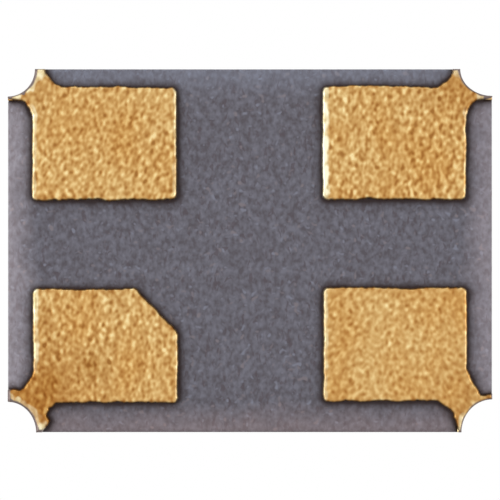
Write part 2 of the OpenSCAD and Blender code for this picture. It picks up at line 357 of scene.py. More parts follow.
def cut_grid(outline, step):
    """A square grid cut along a closed line: its points, its faces and how deep each point lies."""
    low = outline.min(0) - 1.5 * step
    nx, ny = np.ceil((outline.max(0) - low) / step).astype(int) + 2
    gx, gy = np.meshgrid(np.arange(nx), np.arange(ny), indexing="ij")
    points = low + step * np.column_stack([gx.ravel(), gy.ravel()])
    distance, place = nearest_on(points, outline)
    # grid points near the line move onto it, so that no face is a sliver
    near = np.abs(distance) < 0.4 * step
    points[near] = place[near]
    side = np.where(near, 0, np.sign(distance)).astype(int)
    first = (np.arange(nx - 1)[:, None] * ny + np.arange(ny - 1)).ravel()
    cells = np.column_stack([first, first + ny, first + ny + 1, first + 1])
    states = side[cells]
    inside = (states < 0).any(1)
    faces = cells[inside & (states <= 0).all(1)].tolist()
    cuts, extra = {}, []

    def cut(inner, outer):
        """The number of the point where the line cuts the edge between two points."""
        if (inner, outer) not in cuts:
            share = distance[inner] / (distance[inner] - distance[outer])
            cuts[inner, outer] = len(points) + len(extra)
            extra.append(points[inner] + share * (points[outer] - points[inner]))
        return cuts[inner, outer]

    for cell in cells[inside & (states > 0).any(1)]:
        face = []
        for a, b in zip(cell, np.roll(cell, -1)):
            if side[a] <= 0:
                face.append(int(a))
            if side[a] * side[b] < 0:
                face.append(cut(a, b) if side[a] < 0 else cut(b, a))
        faces.append(face)
    if extra:
        points = np.vstack([points, nearest_on(np.array(extra), outline)[1]])
    depth = np.concatenate([np.where(near, 0, -distance), np.zeros(len(extra))])
    used = sorted({i for face in faces for i in face})
    renumber = {old: new for new, old in enumerate(used)}
    return points[used], [[renumber[i] for i in face] for face in faces], depth[used]


def outer_edge(faces):
    """The longest loop of edges that only one face has, in that face's direction."""
    edges = {(a, b) for face in faces for a, b in zip(face, face[1:] + face[:1])}
    after = {a: b for a, b in edges if (b, a) not in edges}
    loops = []
    while after:
        loop = [next(iter(after))]
        while loop[-1] in after:
            loop.append(after.pop(loop[-1]))
        loops.append(loop[:-1])
    return max(loops, key=len)


def wall_faces(lower, upper):
    """Quads between two loops of point numbers, facing out of an anticlockwise outline."""
    return list(zip(lower, lower[1:] + lower[:1], upper[1:] + upper[:1], upper))


def add_object(name, data):
    """A new object in the scene."""
    made = bpy.data.objects.new(name, data)
    bpy.context.scene.collection.objects.link(made)
    return made


class Shell:
    """Points, faces and point values of a mesh in the making."""

    def __init__(self):
        self.points, self.faces, self.values, self.count = [], [], {}, 0

    def add(self, points, **values):
        """Adds points with their values, one each or one for all, and returns their numbers."""
        numbers = range(self.count, self.count + len(points))
        self.count = numbers.stop
        self.points.append(points)
        for name, value in values.items():
            self.values.setdefault(name, []).append(np.full(len(points), value, np.float32))
        return list(numbers)

    def make(self, name, material, slot, stands_for, smooth=True):
        """The Blender object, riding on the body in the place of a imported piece."""
        mesh = bpy.data.meshes.new(name)
        mesh.from_pydata(np.vstack(self.points), [], self.faces, shade_flat=not smooth)
        mesh.validate(clean_customdata=False)
        for key, columns in self.values.items():
            attribute = mesh.attributes.new(key, "FLOAT", "POINT")
            attribute.data.foreach_set("value", np.concatenate(columns))
        mesh.materials.append(material)
        obj = add_object(name, mesh)
        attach(obj, "root")
        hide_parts(stands_for)


def plate(shell, outline, step, height, down, wall, values, back=None):
    """A plate with a relief on one face, walls along its outline and a flat back.

    height gives the face's z at points and how deep inside they lie. down says that the face looks
    down, wall turns its edge into rings, values gives the point values, and back closes the last
    ring if it isn't to be flat.
    """
    plan, faces, depth = cut_grid(outline, step)
    z = height(plan, depth)
    points = np.column_stack([plan, z])
    numbers = shell.add(points, **values(plan, depth, z))
    shell.faces += [[numbers[i] for i in (face[::-1] if down else face)] for face in faces]
    edge = outer_edge(faces)
    ring = [numbers[i] for i in edge]
    for here in wall(points[edge]):
        upper = shell.add(here, **values(here[:, :2], np.zeros(len(here)), here[:, 2]))
        shell.faces += wall_faces(ring, upper) if down else wall_faces(upper, ring)
        ring = upper
    if back:
        back(shell, ring)
    else:
        shell.faces.append(ring if down else ring[::-1])


# ----- Terminals -----


def pad_box(name):
    """Where a pad starts and ends, measured inward from its corner of the body."""
    signs = np.array(CORNERS[name]["signs"])
    outer_slip, inner_slip = np.array(CORNERS[name]["slip"]) * MICRON
    low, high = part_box(name)
    outer = np.array([PAD_MARGIN, PAD_MARGIN - signs[1] * PRINT_SHIFT])
    return outer - signs * outer_slip, np.subtract(high[:2], low[:2]) - signs * inner_slip


def terminal_outline(name):
    """The plan of a terminal with the metal round its notch."""
    corner = CORNERS[name]
    outer, inner = pad_box(name)
    x_edge, y_edge = [smooth_curve(corner[key]) * MICRON for key in ("x_edge", "y_edge")]
    x_meet = (outer[0], x_edge[-1][1] + NECK_MEETS[0])
    y_meet = (y_edge[-1][0] + NECK_MEETS[1], outer[1])
    far = [inner]
    if name == "terminal_enable":
        far = [(inner[0], inner[1] - INDEX_CUT), (inner[0] - INDEX_CUT, inner[1])]
    corners = [(inner[0], outer[1]), *far, (outer[0], inner[1])]
    pad = soft_corners(y_meet, corners, x_meet, PAD_CORNER)
    notch = arc(notch_radii(corner), 90, 0, 40)
    return from_corner(np.vstack([notch, y_edge, [y_meet], pad, [x_meet], x_edge[::-1]]), corner["signs"])


def at_body_side(points):
    """1 at the body's sides and notches, where the metal's edge is clean, and 0 further in."""
    to_side = np.abs(HALF - np.abs(points))
    to_notch = np.maximum(np.linalg.norm(to_side, axis=1) - NOTCH_ZONE, 0)
    return np.clip(1 - np.minimum(to_side.min(1), to_notch) / CLEAN_EDGE, 0, 1)


class Plating:
    """The gold on one corner of the body: its outline, its relief and what its material reads."""

    def __init__(self, name, seed):
        self.corner = CORNERS[name]
        self.radii = notch_radii(self.corner)
        self.pad_sides = sorted(self.corner["signs"][0] * (HALF[0] - inward[0]) for inward in pad_box(name))
        self.outline = uneven(terminal_outline(name), PRINT_STEP, PRINT_WAVES, seed, at_body_side)
        low, high = self.outline.min(0) - 30 * MICRON, self.outline.max(0) + 30 * MICRON
        self.leaning = [
            random_field(low, high, 1.2, GRAIN_SIZE, seed, longest=GRAIN_SPACING, lean=lean)
            for lean in self.corner["lie"]
        ]
        self.broad = random_field(low, high, 6, (30, 40), seed + 1)
        self.ragged = random_field(low, high, 3, (5, 9), seed + 2)

    def notch_gap(self, points):
        """How far points lie from the notch."""
        inward = HALF - np.abs(points)
        return (np.linalg.norm(inward / self.radii, axis=1) - 1) * self.radii.mean()

    def grain(self, points):
        """Grain whose lean turns from the notch to the pad's far corner."""
        away = np.clip(self.notch_gap(points) / GRAIN_TURN, 0, 1)
        return self.leaning[0](points) * (1 - away) + self.leaning[1](points) * away

    def height(self, points, depth):
        """The z of the face, with its grain and its rim, which falls less beside the notch."""
        inward = np.clip(1 - depth / RIM_WIDTH, 0, 1)
        notch_rim = np.clip(1 - self.notch_gap(points) / RIM_WIDTH, 0, 1) ** 2
        grain = np.clip(self.grain(points), -GRAIN_LIMIT, GRAIN_LIMIT)
        relief = GRAIN_HEIGHT * grain * (1 - 0.6 * inward)
        return PAD_FACE - relief + RIM_DROP * rounded(depth, RIM_WIDTH) * (1 - 0.35 * notch_rim)

    def along_notch(self, points, key):
        """What the corner gives at angles round its notch, read at points."""
        inward = (HALF - np.abs(points)) / self.radii
        angle = np.degrees(np.arctan2(inward[:, 1], inward[:, 0]))
        table = np.array(self.corner[key], float)
        return [np.interp(angle, table[:, 0], column) for column in table[:, 1:].T]

    def pale(self, points, depth):
        """How pale the painted highlight lines on the pad's sides and the painted highlight band at the notch
        are: 1 is cream, more is whiter.
        """
        gap, ragged = self.notch_gap(points) / MICRON, self.ragged(points)
        low_width, low_share, high_width, high_share, start = self.corner["edges"]
        side = 0
        for x, width, share in zip(self.pad_sides, (low_width, high_width), (low_share, high_share)):
            from_side = np.abs(points[:, 0] - x) / MICRON
            line = np.clip((width + LINE_RAGGED * ragged - from_side) / HIGHLIGHT_SOFT, 0, 1)
            side = np.maximum(side, share * line)
        side = side * np.clip((low_width + 4 - depth / MICRON) / 4, 0, 1)
        side = side * np.clip((gap - start) / LINE_START, 0, 1)
        side = side * np.clip(0.95 + 0.3 * ragged, 0, 1)
        width, strength = self.along_notch(points, "pale")
        band = np.clip((width + BAND_RAGGED * ragged - gap) / HIGHLIGHT_SOFT, 0, 1) * strength
        return np.maximum(side, band) * np.maximum(0.85 + 0.12 * self.broad(points), 0)

    def values(self, points, depth, z):
        """What the material reads: two tones and shares of what changes the colour."""
        gap, broad = self.notch_gap(points) / MICRON, self.broad(points)
        to_side = (HALF - np.abs(points)) / MICRON - self.corner["ends"]
        to_line = np.minimum(gap - self.along_notch(points, "rim")[0], to_side.min(1))
        reach, strength = self.corner["tarnish"]
        return dict(
            grain=0.5 + 0.2 * self.corner["texture"] * self.grain(points),
            broad=0.5 + 0.2 * broad,
            warm=strength * np.clip(1.25 - gap / reach + 0.3 * broad, 0, 1),
            # painted highlights: cream lines along the pad's sides and a cream band at the notch
            pale=self.pale(points, depth),
            # painted shade on the rounded rim, which the material also makes rougher
            rolled=np.clip(1 - depth / RIM_WIDTH, 0, 1) * (z < WALL_START),
            # where the painted shade line along the notch and near the body's sides falls
            notch=np.where(z > WALL_START, CLEAR_OF_NOTCH, to_line - 0.8 * self.ragged(points)),
        )


def terminal(name, seed, material):
    """A gold-plated terminal: grainy face, rounded rim and lined notch."""
    gold, shell = Plating(name, seed), Shell()

    def wall(edge):
        """Rings from the rim into the ceramic."""
        root = level(edge[:, :2], CERAMIC_BOTTOM + PAD_ROOT)
        return [0.5 * (edge + root), root]

    plate(shell, gold.outline, GRAIN_STEP, gold.height, True, wall, gold.values)
    add_lining(shell, gold)
    shell.make(name.replace("terminal", "plated_terminal"), material, "gold_plate", name)


def add_lining(shell, gold):
    """The metal that lines a notch, from the pad up."""
    foot = CERAMIC_BOTTOM - 4 * MICRON
    inside = np.linspace(CERAMIC_BOTTOM + 4 * MICRON, LINING_TOP - 8 * MICRON, LINING_ROWS)
    # up the inside and down the outside, so that the strips between the rings face out
    profile = [(0, foot), *[(0, z) for z in inside], (2 * MICRON, LINING_TOP - 2 * MICRON),
               (6 * MICRON, LINING_TOP), (LINING, LINING_TOP), (LINING, foot)]
    rough = np.random.default_rng(int(1e6 * gold.radii.sum()))
    rings = []
    for offset, z in profile:
        inward = arc(gold.radii + offset, 0, 90, 48)
        wobble = rough.normal(size=len(inward)) * LINING_ROUGHNESS * (offset == 0)
        inward = inward * (1 + wobble / gold.radii.mean())[:, None]
        plan = from_corner(inward, gold.corner["signs"])
        rings.append(shell.add(level(plan, z), **gold.values(plan, np.zeros(len(plan)), z)))
    for lower, upper in zip(rings, rings[1:] + rings[:1]):
        shell.faces += list(zip(lower, upper, upper[1:], lower[1:]))
    shell.faces.append([ring[0] for ring in rings][::-1])
    shell.faces.append([ring[-1] for ring in rings])


def lead(name, corner, material):
    """A printed lead between the ceramic layers, with its end kept behind the notch's lining."""
    mesh = NODES[name].data
    points = np.array([vertex.co[:] for vertex in mesh.vertices])
    inward = HALF - points[:, :2] * corner["signs"]
    # 1 in the middle of the lining, and never 0
    reach = np.maximum(np.linalg.norm(inward / (notch_radii(corner) + 0.5 * LINING), axis=1), 0.1)
    inward = inward * np.maximum(1, 1 / reach)[:, None]
    points[:, :2] = (HALF - inward) * corner["signs"]
    shell = Shell()
    shell.add(points)
    shell.faces = [list(face.vertices) for face in mesh.polygons]
    shell.make("printed_" + name, material, "fired_metal", name, smooth=False)


# ----- Ceramic package -----


def body_outline():
    """The plan of the ceramic body with its four bare notches."""
    corners = sorted(CORNERS.values(), key=lambda c: math.atan2(*c["signs"][::-1]) % math.tau)
    return np.vstack([from_corner(arc(notch_radii(c) + LINING, 90, 0, 40), c["signs"]) for c in corners])


def side_rings(edge):
    """Rings up the sides of the layers: grooved joints, chips and flakes."""
    plan = edge[:, :2]
    out = softened(outward(plan))
    length = np.linalg.norm(np.roll(plan, -1, axis=0) - plan, axis=1)
    run = np.cumsum(length) - length
    chips = random_field((0, 0), microns(6000, 600), 4, (9, 7), 13)
    flakes = random_field((0, 0), microns(6000, 600), 20, (120, 30), 14)
    even = np.linspace(CERAMIC_BOTTOM + 1.5 * CERAMIC_EDGE, CERAMIC_TOP - CERAMIC_EDGE, SIDE_ROWS)
    levels = np.unique(np.concatenate([even, BASE_TOP + JOINT_ROWS, STEP_TOP + JOINT_ROWS]))
    rings = []
    for z in (*levels, CERAMIC_TOP - 0.5 * CERAMIC_EDGE, CERAMIC_TOP):
        joint = min(abs(z - BASE_TOP), abs(z - STEP_TOP))
        groove = JOINT_DEPTH * math.exp(-((joint / JOINT_WIDTH) ** 2))
        top = CERAMIC_EDGE * rounded(CERAMIC_TOP - z, CERAMIC_EDGE)
        place_on_side = level(run, z)
        rough = CHIP_DEPTH * np.abs(chips(place_on_side)) + FLAKE_DEPTH * np.abs(flakes(place_on_side))
        inset = LAYER_INSETS[int(z > BASE_TOP) + int(z > STEP_TOP)] + groove + top + rough
        rings.append(level(plan - out * inset[:, None], z))
    return rings


def fill(shell, rings):
    """Triangles that face up, between a flat ring of point numbers and any rings inside it."""
    points = np.vstack(shell.points)
    numbers = [i for ring in rings for i in ring]
    for triangle in tessellate_polygon([[Vector(points[i]) for i in ring] for ring in rings]):
        a, b, c = [numbers[i] for i in triangle]
        turn = np.cross(points[b][:2] - points[a][:2], points[c][:2] - points[a][:2])
        if abs(turn) > 1e-16:
            shell.faces.append([a, b, c] if turn > 0 else [a, c, b])


def add_cavities(shell, rim):
    """The top of the body inside its rim: the crystal's cavity, the step and the chip's cavity."""
    low, high = [np.array(corner[:2]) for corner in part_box("oscillator_chip")]
    wide = round_rectangle(HALF - WALL, CAVITY_CORNER)
    narrow = round_rectangle((high - low) / 2 + CHIP_CLEARANCE, CAVITY_CORNER) + (high + low) / 2
    mouth, step_outer, step_inner, bottom = [
        shell.add(level(plan, z), halo=CLEAR_OF_METAL, side=1.0)
        for plan, z in ((wide, CERAMIC_TOP), (wide, STEP_TOP), (narrow, STEP_TOP), (narrow, BASE_TOP))
    ]
    fill(shell, [rim, mouth])
    shell.faces += wall_faces(mouth, step_outer)
    fill(shell, [step_outer, step_inner])
    shell.faces += wall_faces(step_inner, bottom)
    fill(shell, [bottom])


def ceramic(material):
    """The three fired layers: grainy underside, stacked sides and both cavities."""
    low, high = -HALF - 20 * MICRON, HALF + 20 * MICRON
    relief = random_field(low, high, 3, (5, 6), 11)
    waves = random_field(low, high, 12, (60, 60), 12)
    metal = [spaced(terminal_outline(name), 8 * MICRON) for name in CORNERS]

    def height(points, depth):
        """The z of the underside, with its relief and its rounded edge."""
        face = CERAMIC_BOTTOM + CERAMIC_RELIEF * (relief(points) + waves(points))
        return face + CERAMIC_EDGE * rounded(depth, CERAMIC_EDGE)

    def values(points, depth, z):
        """How far the underside lies from the metal, and whether points are on the sides."""
        if z.max() > CERAMIC_BOTTOM + 2 * CERAMIC_EDGE:
            return dict(halo=CLEAR_OF_METAL, side=1.0)
        # distances for the painted shadow round the metal, shifted off it like a cast shadow
        gaps = [nearest_on(points - SHADOW_SLIP, line)[0] for line in metal]
        return dict(halo=np.min(gaps, axis=0) / MICRON, side=0.0)

    shell = Shell()
    outline = spaced(body_outline(), CERAMIC_STEP)
    plate(shell, outline, CERAMIC_STEP, height, True, side_rings, values, back=add_cavities)
    shell.make("fired_ceramic", material, "ceramic", "ceramic_package")


# ----- Seal and lid -----


def swept_frame(half, radius, profile, wobble, seed):
    """A frame: a closed profile of (inset, z) carried round a rectangle with round corners."""
    path = spaced(round_rectangle(half, radius), SEAL_STEP)
    out, run = outward(path), np.arange(len(path)) * SEAL_STEP
    field_size = (len(path) * SEAL_STEP, 900 * MICRON)
    bumps = random_field((0, 0), field_size, 5, (14, 9), seed)
    shell, rings = Shell(), []
    for k, (inset, z) in enumerate(profile):
        shift = inset + wobble * bumps(level(run, k * PROFILE_SPACING))
        rings.append(shell.add(level(path - out * shift[:, None], z)))
    for lower, upper in zip(rings, rings[1:] + rings[:1]):
        shell.faces += wall_faces(lower, upper)
    return shell


def seal_ring(material):
    """The ring that the lid is welded to, with rounded edges."""
    low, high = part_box("seal_ring")
    r, width = RING_EDGE, high.x - SEAL_INSIDE
    profile = [(width, low.z), (r, low.z), (0.3 * r, low.z + 0.3 * r), (0, low.z + r)]
    profile += [(0, z) for z in np.linspace(low.z + 2 * r, high.z - 2 * r, 9)]
    profile += [(0, high.z - r), (0.3 * r, high.z - 0.3 * r), (r, high.z), (width, high.z)]
    shell = swept_frame(high[:2], RING_CORNER, profile, 0.6 * MICRON, 21)
    shell.make("weld_ring", material, "nickel_ring", "seal_ring")


def seal_braze(material):
    """The braze under the ring, drawn up into a hollow fillet on its outside."""
    low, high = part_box("seal_braze")
    reach = high.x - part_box("seal_ring")[1].x
    width, rise = high.x - SEAL_INSIDE, high.z - low.z
    angles = np.radians(np.linspace(0, 90, 8))
    hollow = [(reach * math.sin(a), low.z + rise * (1 - math.cos(a))) for a in angles]
    profile = [(width + reach, low.z), *hollow, (width, high.z)]
    shell = swept_frame(high[:2], RING_CORNER + reach, profile, 0.8 * MICRON, 22)
    shell.make("braze_fillet", material, "braze", "seal_braze")


def lid(material):
    """The welded lid: a satin plate, a rippled seam along each side and a melted rim."""
    low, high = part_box("lid")
    half = np.array(high[:2])
    outline = uneven(round_rectangle(half - LID_INSET, LID_CORNER), 6 * MICRON, LID_WAVES, 31)
    relief = random_field(-half, half, 8, (40, 5), 32)
    dents = random_field(-half, half, 30, (150, 150), 33)

    def seam(depth):
        """1 in the middle of the seam and 0 beside it."""
        return np.exp(-(((depth - SEAM_INSET) / SEAM_WIDTH) ** 4))

    def height(points, depth):
        """The z of the lid's top: melted rim, rippled seam, drawn lines and slow dents."""
        to_side = half - np.abs(points)
        run = np.where(to_side[:, 1] < to_side[:, 0], *points.T)
        ripple = 0.5 + 0.5 * np.cos(math.tau * (run + 0.25 * (depth - SEAM_INSET)) / SEAM_PITCH)
        sunk = seam(depth) * (SEAM_DEPTH + RIPPLE_DEPTH * ripple)
        worn = LINE_DEPTH * (relief(points) + 2) + DENT_DEPTH * (dents(points) + 2)
        return high.z - 0.6 * LID_RIM * rounded(depth, LID_RIM) - sunk - worn

    def wall(edge):
        """Rings from the rim down to the weld, which stands out a little."""
        plan, bulge = edge[:, :2], edge[:, :2] * LID_BULGE
        middle = np.column_stack([plan, 0.55 * edge[:, 2] + 0.45 * low.z])
        return [middle, level(bulge, low.z + LID_EDGE), level(bulge, low.z)]

    def values(points, depth, z):
        """Where the seam is."""
        return dict(seam=seam(depth))

    shell = Shell()
    plate(shell, outline, SEAL_STEP, height, False, wall, values)
    shell.make("welded_lid", material, "nickel_lid", "lid")


# ----- Colours -----

# Stops of (place, colour), from dark grain to light
GOLD_TONES = [(0.0, (0.345, 0.155, 0.038)), (0.18, (0.435, 0.212, 0.057)), (0.5, (0.6, 0.352, 0.12)),
              (0.82, (0.79, 0.545, 0.228)), (1.0, (0.9, 0.7, 0.345))]
# Painted highlights: cream tones for the lines and the band, and the white of the strongest lines
HIGHLIGHT_TONES = [(0.15, (0.66, 0.53, 0.27)), (0.5, (0.85, 0.72, 0.42)), (0.85, (0.96, 0.89, 0.62))]
HIGHLIGHT_WHITE = (1.0, 0.94, 0.7)
CERAMIC_TONES = [(0.28, (0.096, 0.086, 0.101)), (0.5, (0.131, 0.125, 0.15)), (0.72, (0.167, 0.164, 0.2))]
# What multiplies the gold: slow changes, tarnish round the notch, and painted shade on the rounded rim
BROAD_GAINS = [(0.0, (0.93, 0.84, 0.72)), (1.0, (1.04, 1.09, 1.16))]
TARNISH_GAIN = (0.7, 0.535, 0.35)
RIM_SHADE_GAIN = (0.245, 0.235, 0.25)
# Painted shade line along the notch and near the body's sides
NOTCH_SHADE = (0.165, 0.128, 0.12)
# Ceramic: strokes, specks of (size in micrometres, colour), and the painted shadow round the metal
STROKES = (0.088, 0.07, 0.081)
SPECKS = [(16, (0.205, 0.21, 0.262)), (18, (0.205, 0.178, 0.196))]
PAD_SHADOW = (0.03, 0.019, 0.02)
# How dark the painted shadow is at distances from the metal, as a share of HALO_REACH in micrometres
HALO_REACH = 40.0
HALO = [(0.05, 1.0), (0.14, 0.88), (0.24, 0.62), (0.38, 0.36), (0.55, 0.16), (0.88, 0.0)]
# Paler borders of the underside, a painted sheen: axis (0 is X), side, width, colour and share
CERAMIC_SHEEN_BORDERS = [
    (0, -1, 104 * MICRON, (0.29, 0.263, 0.296), 1.0), (0, 1, 110 * MICRON, (0.248, 0.223, 0.254), 1.0),
    (1, -1, 106 * MICRON, (0.176, 0.18, 0.224), 0.95), (1, 1, 106 * MICRON, (0.206, 0.17, 0.186), 0.95),
]

# ----- Shader nodes -----

SOCKETS = {"base_color": "Base Color", "ior": "IOR", "specular": "Specular IOR Level",
           "transmission": "Transmission Weight"}


def new_material(name):
    """A node material and its Principled shader."""
    m = bpy.data.materials.new(name)
    m.use_nodes = True
    return m, m.node_tree.nodes["Principled BSDF"]


def feed(m, socket, value):
    """Sets an input to a value, or links it to another node's output."""
    if isinstance(value, bpy.types.NodeSocket):
        m.node_tree.links.new(value, socket)
    else:
        socket.default_value = value


def node(m, kind, inputs=(), **settings):
    """A new shader node of a material or world; each input is a value or another node's output."""
    made = m.node_tree.nodes.new("ShaderNode" + kind)
    for key, value in settings.items():
        setattr(made, key, value)
    for key, value in dict(inputs).items():
        feed(m, made.inputs[key], value)
    return made


def plug(m, shader, **inputs):
    """Feeds the shader's inputs, which are named with underscores."""
    for key, value in inputs.items():
        feed(m, shader.inputs[SOCKETS.get(key, key.capitalize())], value)


def place(m, stretch=(1, 1, 1)):
    """Position on the object, stretched along the axes."""
    where = node(m, "TexCoord").outputs["Object"]
    return node(m, "VectorMath", {0: where, 1: stretch}, operation="MULTIPLY").outputs[0]


def noise(m, size, detail=2.0, roughness=0.5, stretch=(1, 1, 1), distortion=0.0):
    """Noise from 0 to 1 with features of about this size in micrometres."""
    return node(m, "TexNoise", {
        "Vector": place(m, stretch), "Scale": 1 / (size * MICRON), "Detail": detail, "Roughness": roughness,
        "Distortion": distortion,
    }).outputs[0]


def attribute(m, name):
    """A point value of the mesh."""
    return node(m, "Attribute", attribute_name=name).outputs["Fac"]


def remap(m, value, low, high, to_low=0.0, to_high=1.0):
    """A value carried from one range to another, and held at its ends."""
    return node(m, "MapRange", {
        "Value": value, "From Min": low, "From Max": high, "To Min": to_low, "To Max": to_high,
    }).outputs[0]


def ramp(m, value, *stops):
    """A colour that follows a value through stops of (place, colour)."""
    made = node(m, "ValToRGB", {0: value})
    elements = made.color_ramp.elements
    while len(elements) < len(stops):
        elements.new(0.5)
    for element, (at, colour) in zip(elements, stops):
        element.position, element.color = at, (*colour, 1)
    return made.outputs[0]


def blend(m, share, first, second, kind="MIX"):
    """Two colours blended by a share from 0 to 1."""
    made = node(m, "Mix", data_type="RGBA", blend_type=kind)
    sockets = [socket for socket in made.inputs if socket.enabled]
    for socket, value in zip(sockets, (share, first, second)):
        feed(m, socket, (*value, 1) if isinstance(value, tuple) else value)
    return [socket for socket in made.outputs if socket.enabled][0]


def times(m, colour, gain):
    """A colour multiplied by another."""
    return blend(m, 1.0, colour, gain, "MULTIPLY")


def calc(m, operation, first, second=0.0):
    """A number worked out from two others."""
    return node(m, "Math", {0: first, 1: second}, operation=operation).outputs[0]


def bump(m, height, distance):
    """A normal bent by a height from 0 to 1 that stands for this distance in micrometres."""
    return node(m, "Bump", {"Height": height, "Distance": distance * MICRON}).outputs[0]


# ----- Materials -----


def gold_material():
    """Rough gold plate: brown to cream grain, painted highlights along the edges and at the notch, painted
    shade on the rounded rim and a painted shade line along the notch.
    """
    m, shader = new_material("grainy_gold")
    fine = noise(m, 6, 2.0, 0.6, (1, 0.7, 1))
    grain = calc(m, "ADD", attribute(m, "grain"), remap(m, fine, 0.3, 0.7, -0.03, 0.03))
    broad = remap(m, attribute(m, "broad"), 0.1, 0.9)
    pale, rolled = attribute(m, "pale"), attribute(m, "rolled")
    colour = times(m, ramp(m, grain, *GOLD_TONES), ramp(m, broad, *BROAD_GAINS))
    colour = blend(m, attribute(m, "warm"), colour, times(m, colour, TARNISH_GAIN))
    # painted highlights along the pad's sides and at the notch, whiter where strongest
    colour = blend(m, pale, colour, ramp(m, grain, *HIGHLIGHT_TONES))
    colour = blend(m, remap(m, pale, 1.1, 1.5), colour, HIGHLIGHT_WHITE)
    # painted shade on the rounded rim
    colour = blend(m, rolled, colour, times(m, colour, RIM_SHADE_GAIN))
    # painted shade line along the notch and near the body's sides
    colour = blend(m, remap(m, attribute(m, "notch"), -1.5, 3.0, 1.0, 0.0), colour, NOTCH_SHADE)
    rough = calc(m, "ADD", remap(m, grain, 0.2, 0.9, 0.36, 0.27), calc(m, "MULTIPLY", rolled, 0.25))
    plug(m, shader, base_color=colour, metallic=1.0, roughness=rough, normal=bump(m, fine, 0.3))
    return m


def with_sheen_borders(m, body, strength):
    """The ceramic's colour with its paler borders of painted sheen, at this strength."""
    where = node(m, "SeparateXYZ", {0: place(m)})
    wander = remap(m, noise(m, 80), 0.3, 0.7, -14 * MICRON, 14 * MICRON)
    for axis, sign, width, colour, reach in CERAMIC_SHEEN_BORDERS:
        outward_place = calc(m, "MULTIPLY", where.outputs[axis], sign)
        inward = calc(m, "SUBTRACT", float(HALF[axis]), outward_place)
        inward = calc(m, "ADD", inward, wander)
        share = calc(m, "MULTIPLY", remap(m, inward, 0.15 * width, width, reach, 0.0), strength)
        gain = tuple(v / middle for v, middle in zip(colour, CERAMIC_TONES[1][1]))
        body = blend(m, share, body, blend(m, 0.6, colour, times(m, body, gain)))
    return body


def ceramic_material():
    """Dark fired alumina: dark strokes and pale specks, paler borders of painted sheen, and a painted shadow
    round the metal.
    """
    m, shader = new_material("dark_ceramic")
    specks = noise(m, 15, 1.0, 0.5, (1, 0.78, 1))
    patches = noise(m, 60)
    mottle = calc(m, "ADD", specks, remap(m, patches, 0.3, 0.7, -0.018, 0.018))
    strokes = noise(m, 18, 1.0, 0.5, (1.2, 0.65, 1), 0.6)
    body = blend(m, remap(m, strokes, 0.58, 0.72, 0.0, 0.7), ramp(m, mottle, *CERAMIC_TONES), STROKES)
    for size, colour in SPECKS:
        body = blend(m, remap(m, noise(m, size, 0.0), 0.72, 0.86, 0.0, 0.9), body, colour)
    # paler borders: painted sheen, weaker on the sides
    body = with_sheen_borders(m, body, remap(m, attribute(m, "side"), 0, 1, 1, 0.3))
    # painted shadow round the metal, darkest next to it
    halo = calc(m, "ADD", attribute(m, "halo"), remap(m, patches, 0.3, 0.7, -3, 3))
    pad_shadow = ramp(m, calc(m, "DIVIDE", halo, HALO_REACH), *[(at, (share,) * 3) for at, share in HALO])
    relief = calc(m, "SUBTRACT", specks, calc(m, "MULTIPLY", strokes, 0.5))
    plug(m, shader, base_color=blend(m, pad_shadow, body, PAD_SHADOW), roughness=remap(m, specks, 0.3, 0.7, 0.62, 0.48),
         specular=0.2, normal=bump(m, relief, 2.0))
    return m


def brushed_metal(name, pale, dark, roughness, stretch, seam=False):
    """A plated metal with drawn lines, changing tone and maybe a darker welded seam."""
    m, shader = new_material(name)
    lines = noise(m, 18, 3.0, 0.6, stretch)
    cloud = noise(m, 160, 3.0)
    tone = calc(m, "ADD", lines, remap(m, cloud, 0.3, 0.7, -0.12, 0.12))
    colour = ramp(m, tone, (0.3, dark), (0.62, pale))
    rough = remap(m, lines, 0.3, 0.7, roughness - 0.06, roughness + 0.08)
    if seam:
        patchy = remap(m, noise(m, 35), 0.25, 0.6, 0.45, 1.0)
        band = calc(m, "MULTIPLY", attribute(m, "seam"), patchy)
        colour = blend(m, band, colour, tuple(0.72 * v for v in dark))
        rough = calc(m, "ADD", rough, calc(m, "MULTIPLY", band, 0.12))
    plug(m, shader, base_color=colour, metallic=1.0, roughness=rough, normal=bump(m, lines, 0.8))
    return m


def mottled(name, pale, dark, size, metallic, roughness, height=1.0, **extra):
    """Two tones with a matching relief, for the pieces inside. Size and height are in micrometres."""
    m, shader = new_material(name)
    tone = noise(m, size, 3.0, 0.6)
    plug(m, shader, base_color=ramp(m, tone, (0.32, dark), (0.66, pale)), metallic=metallic,
         roughness=remap(m, tone, 0.3, 0.7, roughness + 0.08, roughness - 0.08),
         normal=bump(m, tone, height), **extra)
    return m


def inner_pieces():
    """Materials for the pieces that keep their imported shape, and the leads between the layers."""
    fired = mottled("fired_metal", (0.42, 0.39, 0.34), (0.24, 0.22, 0.19), 9, 0.8, 0.5)
    gold = mottled("bump_gold", (0.9, 0.66, 0.3), (0.62, 0.38, 0.13), 8, 1.0, 0.32)
    silicon = mottled("lapped_silicon", (0.115, 0.12, 0.14), (0.07, 0.074, 0.09), 12, 0.35, 0.34)
    glue = mottled("silver_adhesive", (0.56, 0.55, 0.52), (0.33, 0.32, 0.3), 10, 0.6, 0.55, 2.0)
    quartz = mottled("lapped_quartz", (0.86, 0.9, 0.91), (0.74, 0.79, 0.81), 14, 0.0, 0.28,
                     transmission=0.75, ior=1.54)
    film = mottled("gold_film", (0.94, 0.7, 0.32), (0.78, 0.53, 0.2), 30, 1.0, 0.2, 0.2)
    for name, corner in CORNERS.items():
        lead(name.replace("terminal", "lead"), corner, fired)
    packed = {"crystal_lead": fired, "bump": gold, "oscillator_chip": silicon, "adhesive": glue,
              "quartz_blank": quartz, "electrode": film}
    for name, piece in NODES.items():
        for start, material in packed.items():
            if name.startswith(start):
                piece.data.materials.clear()
                piece.data.materials.append(material)


# ----- Stage, light and camera -----

LAMP_DISTANCE = 12e-3  # from the middle of the body
